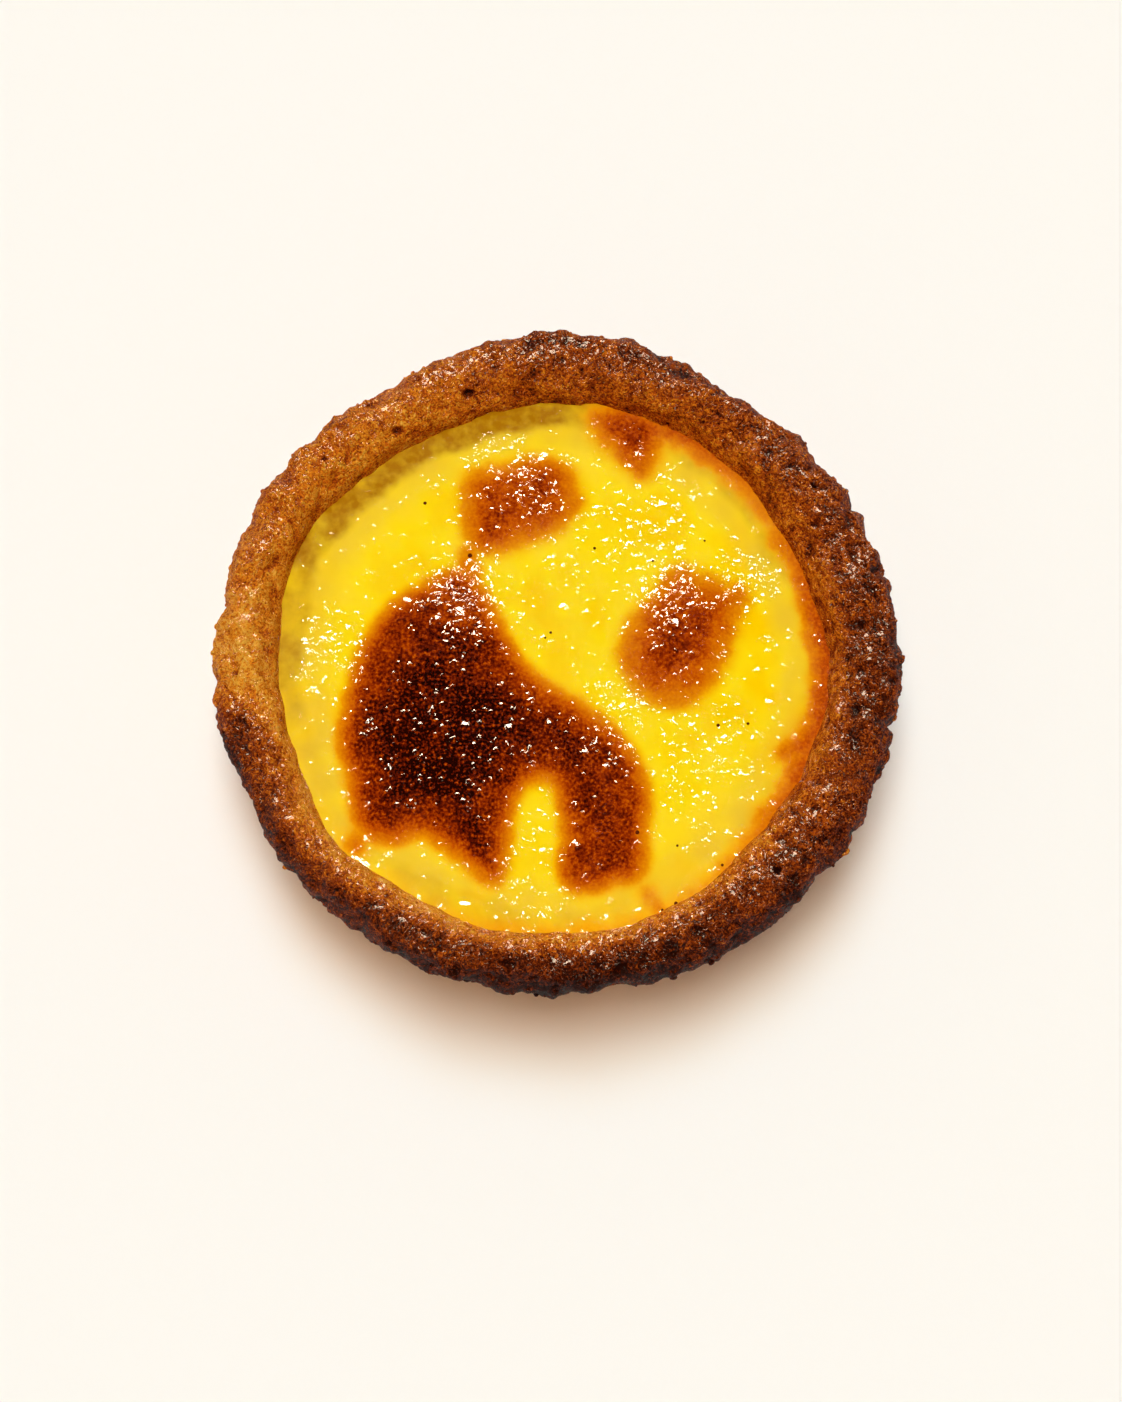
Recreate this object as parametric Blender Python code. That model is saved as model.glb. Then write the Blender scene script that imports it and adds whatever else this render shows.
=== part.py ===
"""Cream cheese tart: a short pastry shell, and the baked custard that fills it to just under its lip.

Lengths are in millimetres until the last step of each piece, which turns them into metres.
The tart stands on its base at z = 0, and its bounds are centred over the origin.
"""

import math

import bmesh
import bpy
from mathutils import Vector, noise

MM = 0.001

# Driving dimensions of the shell
HEIGHT = 24.0
RIM_RADIUS = 37.5
BASE_RADIUS = 30.6
BASE_FILLET = 2.0
WALL_LEAN = math.radians(20.0)
FLOOR_THICKNESS = 4.5
CUSTARD_EDGE_RADIUS = 30.8
CUSTARD_EDGE_HEIGHT = 20.6
CAVITY_FLOOR_RADIUS = 26.0
CAVITY_FILLET = 2.5
LIP_CENTRE_RADIUS = 34.4
LIP_CENTRE_HEIGHT = 20.2
LIP_UNDERCUT = math.radians(-30.0)

# Driving dimensions of the custard, which climbs the wall in a thin film outside a crease
GAP = 0.3
FILM_STEP = 0.1
CUSTARD_DOME = 20.9
SHOULDER_RADIUS = 26.6
SHOULDER_HEIGHT = 20.1
CREASE_RADIUS = 28.7
CREASE_HEIGHT = 19.4

# The shell was pressed by hand, so its circle swells and draws in: azimuth, half width (degrees), depth
RIM_SWELLS = (
    (88.0, 11.0, 1.4),
    (148.0, 22.0, 0.75),
    (181.0, 13.0, 0.7),
    (119.0, 6.0, -0.4),
    (54.0, 12.0, -0.5),
    (23.0, 9.0, 0.3),
    (355.0, 10.0, 0.4),
    (330.0, 14.0, 0.3),
    (258.0, 48.0, -0.65),
)
CUSTARD_SWELLS = (
    (325.0, 30.0, -1.3),
    (28.0, 26.0, -1.3),
    (155.0, 17.0, 1.3),
    (187.0, 14.0, 0.4),
    (219.0, 9.0, 1.2),
    (112.0, 14.0, -0.4),
)
# Places where the lip's edge broke away: azimuth, half width (degrees), depth
RIM_NICKS = (
    (28.5, 2.4, 0.8),
    (57.5, 2.6, 0.7),
    (348.5, 2.4, 0.6),
    (356.5, 2.0, 0.4),
    (321.0, 2.5, 0.5),
)
# Parts of the custard's skin that puffed up as they browned: x, y, half lengths, turn (degrees), rise
BLISTERS = (
    (-10.5, -7.0, 12.5, 16.5, 15.0, 0.8),
    (4.8, -15.0, 5.5, 10.5, 5.0, 0.6),
    (-4.2, 18.7, 7.2, 5.4, 8.0, 0.6),
    (13.8, 3.0, 7.2, 8.4, -20.0, 0.7),
    (7.8, 25.0, 4.0, 3.4, -35.0, 0.4),
)

# Moves the shell's own axis so that the bounds of the whole are centred
CENTRING = Vector((0.1, -0.75, 0.0))

# How finely each piece is turned
SHELL_SEGMENTS = 150
CUSTARD_SEGMENTS = 72

# Depth and size of the pastry's crags, and how much of them each stretch of the section shows
CRAG_DEPTH = 0.6
CRAG_SIZE = 5.5
CRUMB_DEPTH = 0.5
CRUMB_SIZE = 2.9
CRUMB_OFFSET = Vector((7.0, 3.0, 11.0))
CRAGGY_LIP = 1.0
CRAGGY_WALL = 0.45
CRAGGY_FOOT = 0.25
SMOOTH = 0.0

# Shares of the lip's swells
WITH_LIP = 1.0
WITH_CUSTARD = 0.0

# Slow waves in the custard's skin, and the shares of a blister's half length where its top ends
# and where its slope meets the skin
WAVE_DEPTH = 0.3
WAVE_SIZE = 9.0
WAVE_LEVEL = 4.0
BLISTER_TOP = 0.55
BLISTER_FOOT = 1.25

CRUST_COLOUR = (0.30, 0.115, 0.030, 1.0)
CUSTARD_COLOUR = (0.95, 0.62, 0.03, 1.0)
SHARP_ANGLE = math.radians(60.0)


def clear_scene():
    """Remove whatever the scene holds."""
    for existing in list(bpy.data.objects):
        bpy.data.objects.remove(existing, do_unlink=True)


def arc(centre_r, centre_z, half_r, half_z, start, end, steps):
    """Points of an elliptical arc in the section, both ends included."""
    points = []
    for i in range(steps + 1):
        angle = start + (end - start) * i / steps
        points.append((centre_r + half_r * math.cos(angle), centre_z + half_z * math.sin(angle)))
    return points


def straight(start, end, steps):
    """Points inside a straight stretch of the section, both ends left out."""
    return [
        tuple(a + (b - a) * i / steps for a, b in zip(start, end))
        for i in range(1, steps)
    ]


def swell(azimuth, places):
    """Sum of the rounded swells at this azimuth, in degrees."""
    total = 0.0
    for centre, half_width, depth in places:
        away = (azimuth - centre + 180.0) % 360.0 - 180.0
        total += depth * math.exp(-((away / half_width) ** 2))
    return total


def smoothstep(low, high, value):
    """A smooth rise from 0 at the low value to 1 at the high one."""
    t = min(max((value - low) / (high - low), 0.0), 1.0)
    return t * t * (3.0 - 2.0 * t)


def shell_section():
    """The pastry's section from the middle of its underside, over the lip, to the cavity's floor.

    Each point is its radius, its height, the share of the crags that it shows, and the share of
    the lip's own swells that it takes; the rest of its swells are the custard's.
    """
    quarter = math.pi / 2.0
    lip_half_r = RIM_RADIUS - LIP_CENTRE_RADIUS
    lip_half_z = HEIGHT - LIP_CENTRE_HEIGHT
    inner_half_r = LIP_CENTRE_RADIUS - CUSTARD_EDGE_RADIUS
    inner_end = math.pi - math.asin((CUSTARD_EDGE_HEIGHT - LIP_CENTRE_HEIGHT) / lip_half_z)
    foot = arc(
        BASE_RADIUS - BASE_FILLET, BASE_FILLET, BASE_FILLET, BASE_FILLET, -quarter, -WALL_LEAN, 3
    )
    outer_lip = arc(
        LIP_CENTRE_RADIUS, LIP_CENTRE_HEIGHT, lip_half_r, lip_half_z, LIP_UNDERCUT, quarter, 8
    )
    inner_lip = arc(
        LIP_CENTRE_RADIUS, LIP_CENTRE_HEIGHT, inner_half_r, lip_half_z, quarter, inner_end, 6
    )
    cavity_foot = arc(
        CAVITY_FLOOR_RADIUS - CAVITY_FILLET, FLOOR_THICKNESS + CAVITY_FILLET,
        CAVITY_FILLET, CAVITY_FILLET, -WALL_LEAN, -quarter, 3,
    )
    section = [(0.0, 0.0, SMOOTH, WITH_LIP), (BASE_RADIUS * 0.5, 0.0, SMOOTH, WITH_LIP)]
    section += [(r, z, SMOOTH, WITH_LIP) for r, z in foot[:1]]
    section += [(r, z, CRAGGY_FOOT, WITH_LIP) for r, z in foot[1:]]
    section += [(r, z, CRAGGY_WALL, WITH_LIP) for r, z in straight(foot[-1], outer_lip[0], 7)]
    for r, z in outer_lip + inner_lip[1:-1]:
        section.append((r, z, CRAGGY_LIP, smoothstep(CUSTARD_EDGE_RADIUS, RIM_RADIUS, r)))
    cavity = inner_lip[-1:] + straight(inner_lip[-1], cavity_foot[0], 5) + cavity_foot
    cavity += [(CAVITY_FLOOR_RADIUS * 0.5, FLOOR_THICKNESS), (0.0, FLOOR_THICKNESS)]
    section += [(r, z, SMOOTH, WITH_CUSTARD) for r, z in cavity]
    return section


def custard_section():
    """The custard's section from the middle of its underside to the middle of its skin.

    Each point has the same four values as the pastry's.
    """
    quarter = math.pi / 2.0
    foot_radius = CAVITY_FLOOR_RADIUS - GAP
    underside = FLOOR_THICKNESS + GAP
    edge = (CUSTARD_EDGE_RADIUS - GAP, CUSTARD_EDGE_HEIGHT - FILM_STEP)
    foot = arc(
        foot_radius - CAVITY_FILLET, underside + CAVITY_FILLET, CAVITY_FILLET, CAVITY_FILLET,
        -quarter, -WALL_LEAN, 3,
    )
    section = [(0.0, underside)] + foot + straight(foot[-1], edge, 4) + [edge]
    meniscus_steps = 4
    for i in range(1, meniscus_steps + 1):
        t = i / meniscus_steps
        radius = edge[0] + (CREASE_RADIUS - edge[0]) * t
        section.append((radius, CREASE_HEIGHT + (edge[1] - CREASE_HEIGHT) * (1.0 - t) ** 2))
    shoulder_steps = 3
    for i in range(1, shoulder_steps + 1):
        t = i / shoulder_steps
        radius = CREASE_RADIUS + (SHOULDER_RADIUS - CREASE_RADIUS) * t
        section.append((radius, CREASE_HEIGHT + (SHOULDER_HEIGHT - CREASE_HEIGHT) * math.sin(t * quarter)))
    skin_steps = 12
    for i in range(1, skin_steps + 1):
        radius = SHOULDER_RADIUS * (1.0 - i / skin_steps)
        rise = CUSTARD_DOME - SHOULDER_HEIGHT
        section.append((radius, SHOULDER_HEIGHT + rise * (1.0 - (radius / SHOULDER_RADIUS) ** 2)))
    return [(radius, height, SMOOTH, WITH_CUSTARD) for radius, height in section]


def turned(section, segments):
    """Spin a section round the Z axis into a closed mesh; the two shares ride along in layers."""
    bm = bmesh.new()
    crag = bm.verts.layers.float.new("crag")
    with_lip = bm.verts.layers.float.new("with_lip")
    points = []
    for radius, height, crag_share, lip_share in section:
        point = bm.verts.new((radius, 0.0, height))
        point[crag] = crag_share
        point[with_lip] = lip_share
        points.append(point)
    edges = [bm.edges.new(pair) for pair in zip(points, points[1:])]
    bmesh.ops.spin(
        bm, geom=points + edges, cent=(0.0, 0.0, 0.0), axis=(0.0, 0.0, 1.0),
        angle=2.0 * math.pi, steps=segments, use_merge=True,
    )
    bmesh.ops.remove_doubles(bm, verts=bm.verts, dist=0.001)
    bmesh.ops.recalc_face_normals(bm, faces=bm.faces)
    return bm


def press_by_hand(bm):
    """Move every ring from a true circle to the uneven outline of the lip and of the custard."""
    with_lip = bm.verts.layers.float["with_lip"]
    for v in bm.verts:
        radius = math.hypot(v.co.x, v.co.y)
        if radius < GAP:
            continue
        azimuth = math.degrees(math.atan2(v.co.y, v.co.x))
        amount = v[with_lip] * swell(azimuth, RIM_SWELLS)
        amount += (1.0 - v[with_lip]) * swell(azimuth, CUSTARD_SWELLS)
        amount *= min(1.0, radius / CUSTARD_EDGE_RADIUS)
        broken = smoothstep(LIP_CENTRE_RADIUS, RIM_RADIUS, radius) * swell(azimuth, RIM_NICKS)
        stretch = (radius + amount - broken) / radius
        v.co.x *= stretch
        v.co.y *= stretch


def roughen_pastry(bm):
    """Push the pastry in and out along its normals where it is craggy."""
    crag = bm.verts.layers.float["crag"]
    bm.normal_update()
    moves = []
    for v in bm.verts:
        depth = CRAG_DEPTH * noise.noise(v.co / CRAG_SIZE)
        depth += CRUMB_DEPTH * noise.noise(v.co / CRUMB_SIZE + CRUMB_OFFSET)
        moves.append(v.normal * depth * v[crag])
    for v, move in zip(bm.verts, moves):
        v.co += move
        v.co.z = max(v.co.z, 0.0)


def blister_rise(x, y):
    """How far the browned blisters lift the skin at a place."""
    rise = 0.0
    for centre_x, centre_y, half_a, half_b, turn, height in BLISTERS:
        angle = math.radians(turn)
        dx = x - centre_x
        dy = y - centre_y
        along = (dx * math.cos(angle) + dy * math.sin(angle)) / half_a
        across = (dy * math.cos(angle) - dx * math.sin(angle)) / half_b
        away = math.hypot(along, across)
        rise = max(rise, height * (1.0 - smoothstep(BLISTER_TOP, BLISTER_FOOT, away)))
    return rise


def puff_skin(bm):
    """Lift the blisters and wave the skin, leaving the custard's film, wall and underside alone."""
    for v in bm.verts:
        radius = math.hypot(v.co.x, v.co.y)
        if v.co.z < CREASE_HEIGHT or radius > CREASE_RADIUS:
            continue
        inside = 1.0 - smoothstep(SHOULDER_RADIUS, CREASE_RADIUS, radius)
        wave = WAVE_DEPTH * noise.noise(Vector((v.co.x, v.co.y, WAVE_LEVEL)) / WAVE_SIZE)
        v.co.z += inside * (blister_rise(v.co.x, v.co.y) + wave)


def plain_material(name, colour, roughness):
    """A Principled material of one colour."""
    material = bpy.data.materials.new(name)
    material.use_nodes = True
    shader = material.node_tree.nodes["Principled BSDF"]
    shader.inputs["Base Color"].default_value = colour
    shader.inputs["Roughness"].default_value = roughness
    shader.inputs["Metallic"].default_value = 0.0
    material.diffuse_color = colour
    return material


def place(bm, name, material):
    """Make a named object of a mesh in millimetres, centred and turned into metres."""
    bmesh.ops.translate(bm, verts=bm.verts, vec=CENTRING)
    bmesh.ops.scale(bm, verts=bm.verts, vec=(MM, MM, MM))
    mesh = bpy.data.meshes.new(name)
    bm.to_mesh(mesh)
    bm.free()
    mesh.materials.append(material)
    mesh.shade_smooth()
    mesh.set_sharp_from_angle(angle=SHARP_ANGLE)
    piece = bpy.data.objects.new(name, mesh)
    bpy.context.scene.collection.objects.link(piece)
    return piece


def make_crust():
    bm = turned(shell_section(), SHELL_SEGMENTS)
    press_by_hand(bm)
    roughen_pastry(bm)
    return place(bm, "crust", plain_material("baked_pastry", CRUST_COLOUR, 0.6))


def make_filling():
    bm = turned(custard_section(), CUSTARD_SEGMENTS)
    press_by_hand(bm)
    puff_skin(bm)
    return place(bm, "filling", plain_material("baked_custard", CUSTARD_COLOUR, 0.25))


clear_scene()
make_crust()
make_filling()
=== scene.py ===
# %% [markdown]
# # A baked cream cheese tart
#
# The tart is a shell of short pastry, pressed into its tin by hand, and a custard of cream cheese,
# egg yolk and sugar baked in it until its skin blisters and scorches. This lesson dresses the two
# plain solids of the frame: each gets a finely turned mesh of the same form, with crags, pores and
# blisters in the mesh itself, and a material whose colours follow how far each place was baked,
# with some painted shade, painted sheen and painted highlight in them as well.

# %% Load the frame
import math
import random

import bmesh
import bpy
import numpy as np
from mathutils import Matrix, Vector, noise
from mathutils.bvhtree import BVHTree


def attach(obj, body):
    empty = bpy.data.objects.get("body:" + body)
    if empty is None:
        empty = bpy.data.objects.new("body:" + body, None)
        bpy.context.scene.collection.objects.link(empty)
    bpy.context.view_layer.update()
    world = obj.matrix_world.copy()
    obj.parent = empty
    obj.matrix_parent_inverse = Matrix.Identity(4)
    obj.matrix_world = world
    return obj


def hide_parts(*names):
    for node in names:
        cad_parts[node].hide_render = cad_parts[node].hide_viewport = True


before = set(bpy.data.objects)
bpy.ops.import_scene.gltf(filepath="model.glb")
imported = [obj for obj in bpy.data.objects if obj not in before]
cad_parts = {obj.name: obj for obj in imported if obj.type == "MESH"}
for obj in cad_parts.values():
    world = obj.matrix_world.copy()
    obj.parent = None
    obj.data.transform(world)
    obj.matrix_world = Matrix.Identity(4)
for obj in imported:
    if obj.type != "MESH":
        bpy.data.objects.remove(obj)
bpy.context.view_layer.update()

print("nodes:", sorted(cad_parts))

# %% [markdown]
# ## Lengths and places
#
# Everything is worked out in millimetres round the shell's own axis, because a baker's sizes are
# easy to read that way. The last step of each piece moves the axis to its place in the frame and
# turns millimetres into metres. These are the frame's own driving dimensions.

# %% Driving dimensions
MM = 0.001
# Points closer together than this count as one
SAME_PLACE = 0.001
AXIS_PLACE = Vector((0.1, -0.75, 0.0))

LIP_TOP = 24.0
RIM_RADIUS = 37.5
BASE_RADIUS = 30.6
BASE_FILLET = 2.0
WALL_LEAN = math.radians(20.0)
FLOOR_THICKNESS = 4.5
CUSTARD_EDGE_RADIUS = 30.8
CUSTARD_EDGE_HEIGHT = 20.6
CAVITY_FLOOR_RADIUS = 26.0
CAVITY_FILLET = 2.5
LIP_CENTRE_RADIUS = 34.4
LIP_CENTRE_HEIGHT = 20.2
LIP_UNDERCUT = math.radians(-30.0)
CUSTARD_DOME = 20.9
SHOULDER_RADIUS = 25.4
SHOULDER_HEIGHT = 20.1
CREASE_RADIUS = 28.6
CREASE_HEIGHT = 19.95
print("lip", 2 * RIM_RADIUS, "mm across,", LIP_TOP, "mm high")

# %% [markdown]
# ## The camera
#
# The tart is looked at from the front, three quarters of the way up to straight overhead, so the
# far wall of the shell shows its inner face and the near wall hides behind its own lip. A long
# lens from 430 mm away keeps the circle round. The camera comes first, so that each piece can be
# judged through it.

# %% Camera
CAMERA_ELEVATION = math.radians(75.0)
CAMERA_DISTANCE = 430.0
CAMERA_LENS = 100.0
CAMERA_AIM = AXIS_PLACE + Vector((0.35, -4.4, 21.0))

backwards = Vector((0.0, -math.cos(CAMERA_ELEVATION), math.sin(CAMERA_ELEVATION)))
camera_data = bpy.data.cameras.new("camera")
camera_data.lens = CAMERA_LENS
camera_data.sensor_width = 36.0
camera_data.clip_start = 0.01
camera_data.clip_end = 10.0
camera = bpy.data.objects.new("camera", camera_data)
camera.location = (CAMERA_AIM + backwards * CAMERA_DISTANCE) * MM
camera.rotation_mode = "QUATERNION"
camera.rotation_quaternion = (-backwards).to_track_quat("-Z", "Y")
bpy.context.scene.collection.objects.link(camera)
bpy.context.scene.camera = camera
print("camera at", [round(c, 3) for c in camera.location])

# %% [markdown]
# ## Colours and nodes
#
# Colours are picked as sRGB hex values, as a painter would read them off a swatch, and one
# function turns them to the linear values that shaders want. Another adds a shader node with its
# links, its unlinked values and its settings, which keeps each material short enough to read as a
# recipe. The shader of each new material is filled in the same way.
#
# Pastry and custard both shine by drops, of butter on the one and of syrup on the other. Drops
# could be noise in a bump, but noise has no edge, and its glints run together into a veil. So
# each cell of a Voronoi pattern holds one round drop with dry skin about it, noise pulls the drops
# a little out of round, and a share says how many of them stand up. Small drops can lie on big ones.

# %% Colour and node helpers
def linear(hex_colour):
    """An sRGB hex colour as linear RGBA."""
    channels = [int(hex_colour[i:i + 2], 16) / 255.0 for i in (1, 3, 5)]
    bright = [c / 12.92 if c <= 0.04045 else ((c + 0.055) / 1.055) ** 2.4 for c in channels]
    return (*bright, 1.0)


def fill(material, node, links, values):
    """Link a node's inputs and set its unlinked values, both keyed by input."""
    for name, value in (values or {}).items():
        node.inputs[name].default_value = value
    for name, output in (links or {}).items():
        material.node_tree.links.new(output, node.inputs[name])


def add_node(material, kind, links=None, values=None, stops=None, **settings):
    """Add a node with its links, values and settings; stops fill a colour ramp."""
    node = material.node_tree.nodes.new("ShaderNode" + kind)
    for name, setting in settings.items():
        setattr(node, name, setting)
    fill(material, node, links, values)
    for i, (place, hex_colour) in enumerate(stops or ()):
        elements = node.color_ramp.elements
        element = elements[i] if i < 2 else elements.new(place)
        element.position = place
        element.color = linear(hex_colour)
    return node


def new_material(name):
    """An empty node material, and its Principled shader."""
    material = bpy.data.materials.new(name)
    material.use_nodes = True
    return material, material.node_tree.nodes["Principled BSDF"]


def beaded(material, place, drops, share, below=None):
    """A normal for drops of fat or syrup: spacing, radius, height and pull out of round, in mm."""
    spacing, radius, height, pull = drops
    scale = {"Scale": 1.0 / (spacing * MM)}
    wobble = add_node(material, "TexNoise", {"Vector": place}, {**scale, "Detail": 1.0})
    pulled = add_node(
        material, "VectorMath", {0: wobble.outputs["Color"], 2: place},
        {1: (pull * MM, pull * MM, pull * MM)}, operation="MULTIPLY_ADD",
    )
    cell = add_node(material, "TexVoronoi", {"Vector": pulled.outputs[0]}, scale)
    squared = add_node(
        material, "Math", {0: cell.outputs["Distance"], 1: cell.outputs["Distance"]},
        operation="MULTIPLY",
    )
    dome = add_node(
        material, "Math", {0: squared.outputs[0]}, {1: -(spacing / radius) ** 2, 2: 1.0},
        operation="MULTIPLY_ADD", use_clamp=True,
    )
    lot = add_node(material, "SeparateColor", {"Color": cell.outputs["Color"]})
    kept = add_node(material, "Math", {0: lot.outputs[0], 1: share}, operation="LESS_THAN")
    raised = add_node(
        material, "Math", {0: dome.outputs[0], 1: kept.outputs[0]}, operation="MULTIPLY"
    )
    links = {"Height": raised.outputs[0]}
    if below:
        links["Normal"] = below
    bump = add_node(material, "Bump", links, {"Strength": 1.0, "Distance": height * MM})
    return bump.outputs["Normal"]


print("a warm white in linear light:", [round(c, 3) for c in linear("#FEF9F1")])

# %% [markdown]
# ## Light and floor
#
# The main light is a long narrow softbox straight overhead, seen end on, so the shadow is soft
# towards the front and stays tight at the sides. A row of suns stands for it, because the width
# of a sun's disc says at once how soft its shadow is. Its front end is warmer, so the shadow it
# fills turns warm. It is used with polarising filters, as food photographers do to get deep
# colours: it lights the tart but isn't mirrored in it. Small bare lamps do the opposite, and show
# only as glints on the wet skin and on buttery crumbs.

# %% Lights and floor
def sun(name, tilt_back, tilt_right, width, irradiance, hex_colour):
    """A sun that leans back (+Y) and right (+X) of straight up; all angles in degrees."""
    data = bpy.data.lights.new(name, "SUN")
    data.energy = irradiance
    data.angle = math.radians(width)
    data.color = linear(hex_colour)[:3]
    lamp = bpy.data.objects.new(name, data)
    towards = Vector((math.tan(math.radians(tilt_right)), math.tan(math.radians(tilt_back)), 1.0))
    lamp.rotation_mode = "QUATERNION"
    lamp.rotation_quaternion = towards.to_track_quat("Z", "Y")
    bpy.context.scene.collection.objects.link(lamp)
    return lamp


# Each lamp: name, lean back, lean right, width of its disc in degrees, irradiance, colour
SOFTBOX = (
    ("softbox_front", -8.0, -1.5, 19.0, 0.88, "#FFDEBC"),
    ("softbox_near", 1.0, -1.5, 19.0, 0.72, "#FFFFFF"),
    ("softbox_middle", 10.0, -1.5, 19.0, 1.00, "#E4F7FF"),
    ("softbox_back", 19.0, -1.5, 19.0, 0.72, "#A3D1FF"),
)
GLINT_COLOUR = "#FFE8C8"
GLINTS = (
    ("glint_back", 56.0, -5.0, 32.0, 17.0, GLINT_COLOUR),
    ("glint_right", 38.0, 42.0, 16.0, 3.2, GLINT_COLOUR),
    ("glint_left", 36.0, -44.0, 16.0, 3.4, GLINT_COLOUR),
    ("glint_front", -52.0, 8.0, 13.0, 0.6, GLINT_COLOUR),
)
ROOM_STRENGTH = 0.229
FLOOR_REACH = 3.0
for lamp in SOFTBOX:
    sun(*lamp).visible_glossy = False
for lamp in GLINTS:
    sun(*lamp).visible_diffuse = False

room = bpy.data.worlds.new("warm_room")
room.use_nodes = True
room.node_tree.nodes["Background"].inputs["Color"].default_value = linear("#FFDEC3")
room.node_tree.nodes["Background"].inputs["Strength"].default_value = ROOM_STRENGTH
room.cycles_visibility.glossy = False
bpy.context.scene.world = room
bpy.context.scene.view_settings.view_transform = "Standard"

paper, paper_shader = new_material("cream_backing_paper")
# Uncoated paper scatters light evenly and mirrors nothing
fill(paper, paper_shader, {}, {
    "Base Color": linear("#F9F7EE"), "Roughness": 1.0, "Specular IOR Level": 0.0,
})

floor_mesh = bmesh.new()
bmesh.ops.create_grid(floor_mesh, x_segments=1, y_segments=1, size=FLOOR_REACH)
floor_data = bpy.data.meshes.new("floor")
floor_mesh.to_mesh(floor_data)
floor_mesh.free()
floor_data.materials.append(paper)
floor = bpy.data.objects.new("floor", floor_data)
bpy.context.scene.collection.objects.link(floor)
print(len(SOFTBOX), "suns for the softbox,", len(GLINTS), "for glints")

# %% [markdown]
# ## A hand-pressed circle
#
# The shell is turned like a pot, by spinning its section round the upright axis, and then pressed
# out of true as fingers press dough. A lattice could bend it too, but a table says plainly where
# each swell is, how wide and how deep. The lip and the custard's edge have swells of their own,
# and the pastry between them takes a share of both. Nicks are narrow places where the edge broke.

# %% Swells and nicks
# Each swell or nick: azimuth of its middle and half its width, in degrees, and its depth in mm
RIM_SWELLS = (
    (88, 11, 1.4), (148, 22, 0.75), (181, 13, 0.7), (119, 6, -0.4), (54, 12, -0.5), (23, 9, 0.3),
    (355, 10, 0.4), (330, 14, 0.3), (258, 48, -0.65),
)
CUSTARD_SWELLS = (
    (325, 30, -1.3), (28, 26, -1.3), (155, 17, 1.3), (187, 14, 0.4), (219, 9, 1.2),
    (112, 14, -0.4),
)
RIM_NICKS = (
    (28.8, 1.3, 1), (57.8, 1.6, 0.9), (348.7, 1.3, 0.9), (356.3, 0.9, 0.5), (320.5, 2.5, 0.5),
    (15.6, 0.9, 0.5), (154.6, 0.8, 0.3), (170.3, 0.8, 0.35), (187.8, 0.8, 0.3),
)


# How many half widths away a swell has died out
SWELL_REACH = 4.0


def swell(azimuth, places):
    """Sum of the soft bumps at this azimuth, in degrees."""
    total = 0.0
    for centre, half_width, depth in places:
        away = (azimuth - centre + 180.0) % 360.0 - 180.0
        if abs(away) < SWELL_REACH * half_width:
            total += depth * math.exp(-((away / half_width) ** 2))
    return total


def smoothstep(low, high, value):
    """A smooth rise from 0 at the low value to 1 at the high one."""
    t = min(max((value - low) / (high - low), 0.0), 1.0)
    return t * t * (3.0 - 2.0 * t)


def azimuth_of(point):
    """Degrees round the axis from +X, from 0 to 360."""
    return math.degrees(math.atan2(point.y, point.x)) % 360.0


def press_by_hand(bm):
    """Move every ring from a true circle to the uneven outline of the lip and of the custard."""
    with_lip = bm.verts.layers.float["with_lip"]
    for v in bm.verts:
        radius = math.hypot(v.co.x, v.co.y)
        if radius < SAME_PLACE:
            continue
        azimuth = azimuth_of(v.co)
        amount = v[with_lip] * swell(azimuth, RIM_SWELLS)
        amount += (1.0 - v[with_lip]) * swell(azimuth, CUSTARD_SWELLS)
        amount *= min(1.0, radius / CUSTARD_EDGE_RADIUS)
        broken = smoothstep(LIP_CENTRE_RADIUS, RIM_RADIUS, radius) * swell(azimuth, RIM_NICKS)
        stretch = (radius + amount - broken) / radius
        v.co.x *= stretch
        v.co.y *= stretch


print("the lip swells by", round(swell(90.0, RIM_SWELLS), 2), "mm at the back")

# %% [markdown]
# ## Turning a section
#
# A section is a list of points. Each has its radius, its height, how much of the big crags it
# shows, how much of the fine crumb, and how much of the lip's swells it takes. The three shares
# are stored in vertex layers, and the spin copies them to every step of the turn. Spinning an
# eighth of a turn and repeating it goes much faster than one long spin. Spun faces can come out
# inside out, so the normals are recalculated once the seams and the poles are welded.

# %% Arcs, straights and the spin
QUARTER = math.pi / 2.0
SLICES = 8
SHARES = ("crag", "crumb", "with_lip")


def arc(centre_r, centre_z, half_r, half_z, start, end, steps):
    """Points of an elliptical arc in the section, both ends included."""
    points = []
    for i in range(steps + 1):
        angle = start + (end - start) * i / steps
        points.append((centre_r + half_r * math.cos(angle), centre_z + half_z * math.sin(angle)))
    return points


def straight(start, end, steps):
    """Points along a straight stretch of the section, without its ends."""
    return [tuple(a + (b - a) * i / steps for a, b in zip(start, end)) for i in range(1, steps)]


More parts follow.
